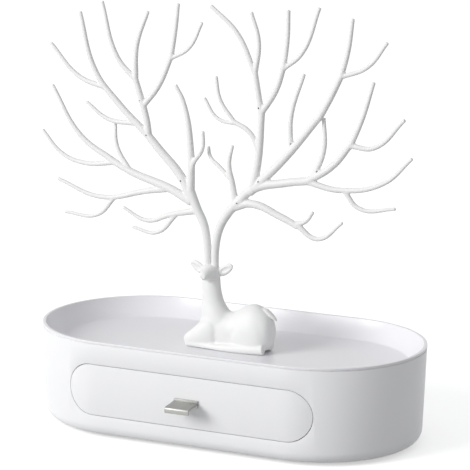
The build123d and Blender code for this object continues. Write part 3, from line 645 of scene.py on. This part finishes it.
# %% [markdown]
# ## The antlers
# Each antler is one flat moulding that branches like a small tree. Every limb starts as a curve
# through a few points, as a branch is drawn: a thick root inside its parent, a thin tip. The
# first two numbers of a limb are its radii at root and tip, and the third says how far the tip
# leans out of the plane. Then come its points, as x and height above the tray floor, all in
# millimetres. Names tell where a limb sits on the tree.
# %% The limbs of both antlers
LEFT_ANTLER = {
    "stem": (2.7, 3.4, 0, (-19.9, 59), (-20.2, 73), (-23, 89), (-29, 101), (-34.5, 114)),
    "crown": (3.2, 1.3, 0, (-34, 111), (-34, 142), (-40, 177), (-46.5, 189)),
    "crown_spur": (2.0, 1.2, -4, (-33.5, 124), (-31.5, 133), (-23.5, 145), (-22.5, 158)),
    "high": (3.4, 2.8, 0, (-33, 107), (-41, 122), (-60.5, 142.5), (-69, 151.5)),
    "high_outer": (2.7, 1.3, 0, (-67.5, 150), (-92, 172), (-111, 194.5), (-123.5, 237)),
    "high_outer_spur": (1.9, 1.2, 0, (-102, 182.5), (-125, 190), (-147.5, 212.5)),
    "high_low_spur": (1.9, 1.1, 0, (-79, 158.5), (-100.5, 160), (-118.5, 171.5)),
    "high_inner": (2.5, 2.1, 0, (-67.5, 149), (-69.5, 162), (-79, 192.5)),
    "high_inner_left": (2.0, 1.2, 0, (-78.5, 190.5), (-93, 205.5), (-105.5, 245.5)),
    "high_inner_right": (2.1, 1.3, 0, (-78.5, 191), (-77.5, 215), (-68.5, 240.5)),
    "high_fork": (2.1, 1.8, 0, (-72, 172), (-60, 187), (-49.5, 210)),
    "high_fork_left": (1.8, 1.3, 0, (-50, 208.5), (-46.5, 229.5), (-44.5, 247.5)),
    "high_fork_right": (1.5, 1.1, 0, (-50.5, 207.5), (-36, 216), (-25.5, 235)),
    "low": (3.3, 2.4, 0, (-33, 105), (-50, 113), (-81, 122.5), (-97, 129.5)),
    "low_outer_up": (2.3, 1.1, 0, (-95.5, 129), (-123.5, 146.5), (-146.5, 182)),
    "low_outer_down": (2.0, 1.1, 0, (-95, 128.5), (-120, 126), (-138.5, 131.5), (-155, 148)),
    "low_inner_spur": (1.8, 1.2, 4, (-83, 123.5), (-94.5, 140.5), (-97, 158)),
    "long": (2.4, 1.2, 0, (-51, 113), (-68, 110), (-107, 102), (-142.5, 112.5)),
    "long_spur": (1.7, 1.1, 0, (-95.5, 102.5), (-109.5, 88.5), (-136.5, 88)),
    "bottom": (2.5, 1.1, 0, (-26.5, 99.5), (-50, 94), (-69, 88), (-88.5, 96)),
    "bottom_spur": (1.8, 1.1, 0, (-45.5, 94.5), (-60.5, 80), (-81, 82)),
}
LEFT_HOLES = ((-74.5, 175.5), (-68.5, 151), (-40.5, 120), (-105, 131), (-64.5, 114.5))

RIGHT_ANTLER = {
    "stem": (2.7, 3.4, 0, (-14.1, 59), (-13.8, 73), (-11, 87), (-4.5, 99), (4.5, 109)),
    "inner": (2.6, 1.2, 0, (2, 106), (-1, 121.5), (-3.7, 135), (-1, 149)),
    "inner_spur": (1.6, 1.2, 4, (-3, 125), (-12, 132.5), (-19.5, 138.5), (-22, 146)),
    "bottom": (3.1, 2.3, 0, (1, 104.5), (13.5, 108), (37.5, 100.5), (50.5, 95)),
    "bottom_up": (1.8, 1.2, 0, (48, 96.5), (56, 99), (62, 106.5)),
    "bottom_down": (2.1, 1.1, 0, (49.5, 96), (65.5, 87.5), (84.5, 101)),
    "low": (3.4, 2.8, 0, (2, 106), (14, 118), (40.5, 125.5), (58.5, 128.5)),
    "low_long": (2.3, 1.2, 0, (56, 128), (82, 124), (114.5, 131.5), (135.5, 151)),
    "low_long_spur": (1.8, 1.2, 0, (85, 124.5), (96.5, 112.5), (124, 114.5)),
    "low_up": (2.8, 2.1, 0, (56, 127.5), (76, 140.5), (90.5, 158)),
    "low_up_left": (2.0, 1.3, 0, (89.5, 156), (98, 176), (106, 202)),
    "low_up_right": (1.9, 1.2, 0, (89.5, 156), (107, 156), (129.5, 177.5)),
    "low_inner_spur": (2.2, 1.3, 4, (61, 130), (68.5, 151), (67.3, 173.5)),
    "high": (3.3, 2.4, 0, (12.5, 116), (39.5, 143), (66, 175)),
    "high_top": (2.5, 2.0, 0, (65, 173), (75, 191), (82, 205.5)),
    "high_left": (2.0, 1.3, 0, (81.5, 204), (86.5, 223), (89.5, 245)),
    "high_right": (1.7, 1.2, 0, (80.5, 203.5), (101, 212), (115.5, 230)),
    "high_spur": (1.9, 1.3, 0, (44.5, 148.5), (44, 172.5), (53.5, 204)),
    "crown": (3.1, 2.3, 0, (14.5, 116.5), (19, 140), (21.5, 174.5)),
    "crown_left": (2.3, 1.9, 0, (21.3, 173), (19, 185), (15.8, 203.5)),
    "crown_left_in": (1.9, 1.3, 0, (16, 201.5), (2, 229), (-19, 247.5)),
    "crown_left_out": (1.9, 1.2, 0, (16, 201.5), (18.5, 224), (12.5, 245)),
    "crown_right": (2.3, 1.9, 0, (20.5, 173), (32, 190.5), (38.3, 209)),
    "crown_right_in": (1.8, 1.4, 0, (38, 207.5), (40.5, 228), (41, 248)),
    "crown_right_out": (1.6, 1.3, 0, (38, 206.5), (51.5, 218), (64.5, 251)),
    "crown_spur": (1.9, 1.6, 0, (19.5, 146), (12.5, 159), (-1, 166.5)),
    "crown_spur_up": (1.5, 1.2, 0, (0, 166), (-11, 181), (-14.5, 197.5)),
    "crown_spur_down": (1.4, 1.1, 0, (3, 164.5), (-13, 167.5), (-23.5, 181.5)),
}
RIGHT_HOLES = ((19.7, 177.5), (44.6, 154), (64.8, 136), (20.5, 125), (4.2, 108))
print(len(LEFT_ANTLER), "limbs on the left and", len(RIGHT_ANTLER), "on the right")

# %% [markdown]
# A limb could be a chain of cylinders, but its bends would show. A Bezier curve with automatic
# handles passes smoothly through its points, and its bevel depth times the radius of a point is
# the limb's thickness there. The forks come last: all limbs are joined, remeshed to one skin
# with small voxels and smoothed, which leaves a soft web in each fork as the moulding has.
# Smoothing draws a thin limb in, so each limb starts about a tenth of a millimetre thicker.
# %% Grow both antlers
CROWN = 60.5
VOXEL = 0.5
ANTLER_ROUNDS = 7
EXTRA_ROOT = 0.1
EXTRA_TIP = 0.12
PIN_LENGTH = 9.0
PIN_DIAMETER = 3.4
HOLE_DIAMETER = 1.3


def grown(points, root, tip):
    """A smooth tapering limb through points in millimetres."""
    bpy.ops.object.select_all(action="DESELECT")
    bpy.ops.curve.primitive_bezier_curve_add(radius=MM)
    limb = bpy.context.object
    bpy.ops.object.mode_set(mode="EDIT")
    bpy.ops.curve.select_all(action="SELECT")
    bpy.ops.curve.delete(type="VERT")
    runs = [(Vector(b) - Vector(a)).length for a, b in zip(points, points[1:])]
    done = 0.0
    for i, point in enumerate(points):
        bpy.ops.curve.vertex_add(location=Vector(point) * MM)
        bpy.ops.curve.radius_set(radius=root + (tip - root) * done / sum(runs))
        done += runs[i] if i < len(runs) else 0
    bpy.ops.curve.select_all(action="SELECT")
    bpy.ops.curve.handle_type_set(type="AUTOMATIC")
    bpy.ops.object.mode_set(mode="OBJECT")
    limb.data.bevel_depth = MM
    limb.data.bevel_resolution = 5
    limb.data.resolution_u = 10
    limb.data.use_fill_caps = True
    bpy.ops.object.convert(target="MESH")
    return bpy.context.object


def one_skin(parts, voxel, rounds):
    """Join the parts, melt them into one closed skin and smooth it."""
    body = join(parts)
    apply_modifier(body, "REMESH", mode="VOXEL", voxel_size=voxel * MM, use_smooth_shade=True)
    apply_modifier(body, "SMOOTH", factor=0.5, iterations=rounds)
    return body


def flat_below(body, z):
    """Cut the body off flat at a height and close the cut."""
    only(body)
    bpy.ops.object.mode_set(mode="EDIT")
    bpy.ops.mesh.select_all(action="SELECT")
    bpy.ops.mesh.bisect(plane_co=(0, 0, z * MM), plane_no=(0, 0, 1), clear_inner=True,
                        use_fill=True)
    bpy.ops.object.mode_set(mode="OBJECT")


def antler(limbs, holes, name, node_name):
    seat = TRAY_FLOOR + CROWN
    parts = []
    for root, tip, lean, *line in limbs.values():
        last = len(line) - 1
        points = [(x, lean * i / last, TRAY_FLOOR + h) for i, (x, h) in enumerate(line)]
        parts.append(grown(points, root + EXTRA_ROOT, tip + EXTRA_TIP))
    body = one_skin(parts, VOXEL, ANTLER_ROUNDS)
    flat_below(body, seat)
    socket = limbs["stem"][3][0]
    pin = peg(socket, 0, seat - PIN_LENGTH, seat + 0.5, PIN_DIAMETER)
    eyes = []
    for x, h in holes:
        eye = peg(0, 0, -6, 6, HOLE_DIAMETER)
        eye.rotation_euler = (radians(90), 0, 0)
        eye.location = Vector((x, 0, TRAY_FLOOR + h)) * MM
        eyes.append(eye)
    cut(body, join(eyes))
    body = join([body, pin])
    only(body)
    bpy.ops.object.shade_smooth_by_angle(angle=radians(50))
    hand_over(body, name, "stand", "figure_white", figure_white, node_name)


antler(LEFT_ANTLER, LEFT_HOLES, "left_tree", "antler_left")
antler(RIGHT_ANTLER, RIGHT_HOLES, "right_tree", "antler_right")

# %% [markdown]
# ## The deer
# The deer rests with folded legs, its rump to the right and its head turned to the front. Such a
# figure could be sculpted, but a few swelling bodies that run into each other give the same
# form in numbers: rings are extruded from a circle and resized, one after another, along the
# breast, back and rump, up the neck and out to the nose. The legs are grown like the branches.
# %% Bodies that swell
def between(values, place):
    """A smooth curve through the values, read at a place counted in values from the first."""
    i = min(int(place), len(values) - 2)
    t = place - i
    before, start = values[max(i - 1, 0)], values[i]
    end, after = values[i + 1], values[min(i + 2, len(values) - 1)]
    bend = 2 * before - 5 * start + 4 * end - after
    twist = 3 * (start - end) + after - before
    return start + 0.5 * t * (end - before + t * (bend + t * twist))


def swelling(axis, sections, steps=3):
    """A body along an axis through (x, y, height, half across, half up) in millimetres."""
    spin = {"X": (0, radians(90), 0), "Y": (radians(90), 0, 0), "Z": (0, 0, 0)}[axis]
    columns = list(zip(*sections))
    places = [i / steps for i in range(steps * (len(sections) - 1) + 1)]
    rings = [[between(column, place) for column in columns] for place in places]

    def size(ring):
        across, tall = ring[3], ring[4]
        return {"X": (1, across, tall), "Y": (across, 1, tall), "Z": (tall, across, 1)}[axis]

    def centre(ring):
        return Vector((ring[0], ring[1], TRAY_FLOOR + ring[2])) * MM

    bpy.ops.object.select_all(action="DESELECT")
    bpy.ops.mesh.primitive_circle_add(
        vertices=40, radius=MM, location=centre(rings[0]), rotation=spin)
    body = bpy.context.object
    bpy.ops.object.transform_apply(location=True, rotation=True, scale=True)
    bpy.ops.object.mode_set(mode="EDIT")
    bpy.ops.mesh.select_all(action="SELECT")
    bpy.ops.transform.resize(value=size(rings[0]), center_override=centre(rings[0]))
    for old, new in zip(rings, rings[1:]):
        bpy.ops.mesh.extrude_region_move(
            TRANSFORM_OT_translate={"value": centre(new) - centre(old)})
        share = [b / a for a, b in zip(size(old), size(new))]
        bpy.ops.transform.resize(value=share, center_override=centre(new))
    bpy.ops.mesh.select_all(action="SELECT")
    bpy.ops.mesh.fill_holes(sides=0)
    bpy.ops.mesh.select_all(action="SELECT")
    bpy.ops.mesh.normals_make_consistent(inside=False)
    bpy.ops.object.mode_set(mode="OBJECT")
    return body


# %% [markdown]
# The trunk narrows behind the shoulder and swells to the rump. The neck is oval and stands
# nearly upright, with a wide foot that runs into the breast and the back. Skull and muzzle are
# one body that tapers towards the nose.
# %% Trunk, neck and head
HEAD_X = -17.0

torso =swelling("X", (
    (-25.5, 0, 14.0, 3.0, 4.0), (-22.0, 0, 14.0, 7.4, 9.8), (-12.0, 0, 14.2, 9.8, 14.2),
    (0.9, 0, 13.6, 10.1, 13.8), (10.8, 0, 16.6, 10.8, 16.8), (18.6, 0, 17.6, 11.0, 17.6),
    (25.6, 0, 16.6, 10.4, 15.6), (30.2, 0, 15.6, 8.4, 12.0), (33.0, 0, 15.4, 3.8, 5.4)))
neck = swelling("Z", (
    (-11.5, 0, 14.0, 9.8, 12.4), (-11.4, 0, 22.0, 9.4, 12.6), (-13.4, 0, 27.5, 8.4, 10.6),
    (-15.2, 0, 33.0, 7.2, 8.8), (-16.2, 0, 39.0, 6.4, 7.7), (-16.9, 0, 47.0, 6.0, 7.1),
    (-17.0, 0, 56.0, 5.4, 6.6)))
head = swelling("Y", (
    (HEAD_X, 6.6, 55.6, 2.2, 2.2), (HEAD_X, 4.8, 55.6, 5.1, 4.9), (HEAD_X, 0.0, 55.3, 6.5, 6.0),
    (HEAD_X, -5.0, 55.1, 5.8, 5.3), (HEAD_X, -9.0, 54.9, 4.4, 4.2),
    (HEAD_X, -12.4, 54.7, 3.5, 3.1), (HEAD_X, -14.6, 54.5, 2.0, 1.9)))
tail = swelling("X", (
    (23.5, 0, 31.6, 1.8, 1.6), (27.0, 0, 31.0, 2.6, 1.7), (30.6, 0, 28.6, 2.6, 1.7),
    (33.4, 0, 26.3, 2.0, 1.4), (35.2, 0, 24.8, 0.9, 0.8)))
print("trunk, neck, head and tail")

# %% [markdown]
# Each ear is a leaf that leaves the head sideways and is hollowed from the front. The folded
# legs lie along the floor: the foreleg bends at the knee far in front of the breast, and the
# hind leg runs forward from the hock under the heavy thigh.
# %% Ears and folded legs
EAR_HEIGHT = 55.0
HALF_WIDTH = 11.0
POST_OFFSET = 2.9
POST_FOOT = 54.0
POST_DIAMETER = 5.7
LEAF = ((3.5, 0.4, 1.4, 2.4), (6.8, 0.9, 1.6, 3.5), (10.0, 2.2, 1.6, 4.3),
        (13.0, 3.7, 1.4, 4.0), (15.4, 4.8, 1.0, 2.9), (16.8, 5.4, 0.6, 1.3))
CUP = ((8.0, 1.4, 1.0), (9.4, 2.0, 1.9), (11.6, 3.0, 2.4), (13.6, 4.0, 1.9), (15.2, 4.7, 0.8))

ears = []
legs = []
thighs = []
for side in (-1, 1):
    leaf = swelling("X", [(HEAD_X + side * reach, 0.6, EAR_HEIGHT + rise, 1.1 * thick, tall)
                          for reach, rise, thick, tall in LEAF], 4)
    cup = swelling("X", [(HEAD_X + side * reach, -1.6, EAR_HEIGHT + rise, 1.4, tall)
                         for reach, rise, tall in CUP], 4)
    cut(leaf, cup)
    ears.append(leaf)
    y = side * HALF_WIDTH
    legs.append(swelling("X", (
        (-7.6, 0.50 * y, 12.6, 2.6, 5.0), (-11.0, 0.58 * y, 13.4, 4.6, 8.6),
        (-16.5, 0.62 * y, 12.8, 5.2, 9.8), (-22.0, 0.64 * y, 10.8, 4.9, 8.6),
        (-28.0, 0.65 * y, 7.8, 4.2, 6.0), (-32.4, 0.65 * y, 6.0, 3.4, 4.2),
        (-34.8, 0.65 * y, 5.6, 1.8, 2.2))))
    legs.append(grown([(-33.0, 0.66 * y, 61.4), (-20, 0.74 * y, 60.8), (-6, 0.76 * y, 60.4)], 3.2, 2.2))
    legs.append(grown([(28.2, 0.64 * y, 62.2), (8, 0.84 * y, 60.9), (-19.5, 0.82 * y, 60.0)], 4.2, 1.8))
    thighs.append(swelling("X", (
        (-1.0, 0.46 * y, 11.0, 3.0, 5.0), (7.0, 0.50 * y, 12.8, 5.6, 10.6),
        (17.0, 0.52 * y, 14.8, 6.4, 13.8), (25.0, 0.50 * y, 14.0, 5.8, 11.6),
        (30.0, 0.46 * y, 12.0, 3.0, 5.5))))
posts = [peg(HEAD_X + offset, 0, TRAY_FLOOR + POST_FOOT, TRAY_FLOOR + CROWN, POST_DIAMETER)
         for offset in (-POST_OFFSET, POST_OFFSET)]

# %% [markdown]
# The parts melt together in three steps. The broad masses come first, with large voxels and much
# smoothing, so that they flow into each other. The legs keep more of their shape, and the head,
# ears and posts, which have the finest forms, are hardly smoothed. At the end the figure is cut
# flat where it lies on the tray.
# %% Melt the deer together
trunk = one_skin([torso, neck, *thighs], 0.6, 30)
trunk = one_skin([trunk, *legs], 0.5, 12)
deer = one_skin([trunk, head, tail, *ears, *posts], 0.42, 6)
flat_below(deer, TRAY_FLOOR)
bpy.ops.object.shade_smooth_by_angle(angle=radians(50))
hand_over(deer, "resting_deer", "stand", "figure_white", figure_white, "deer")
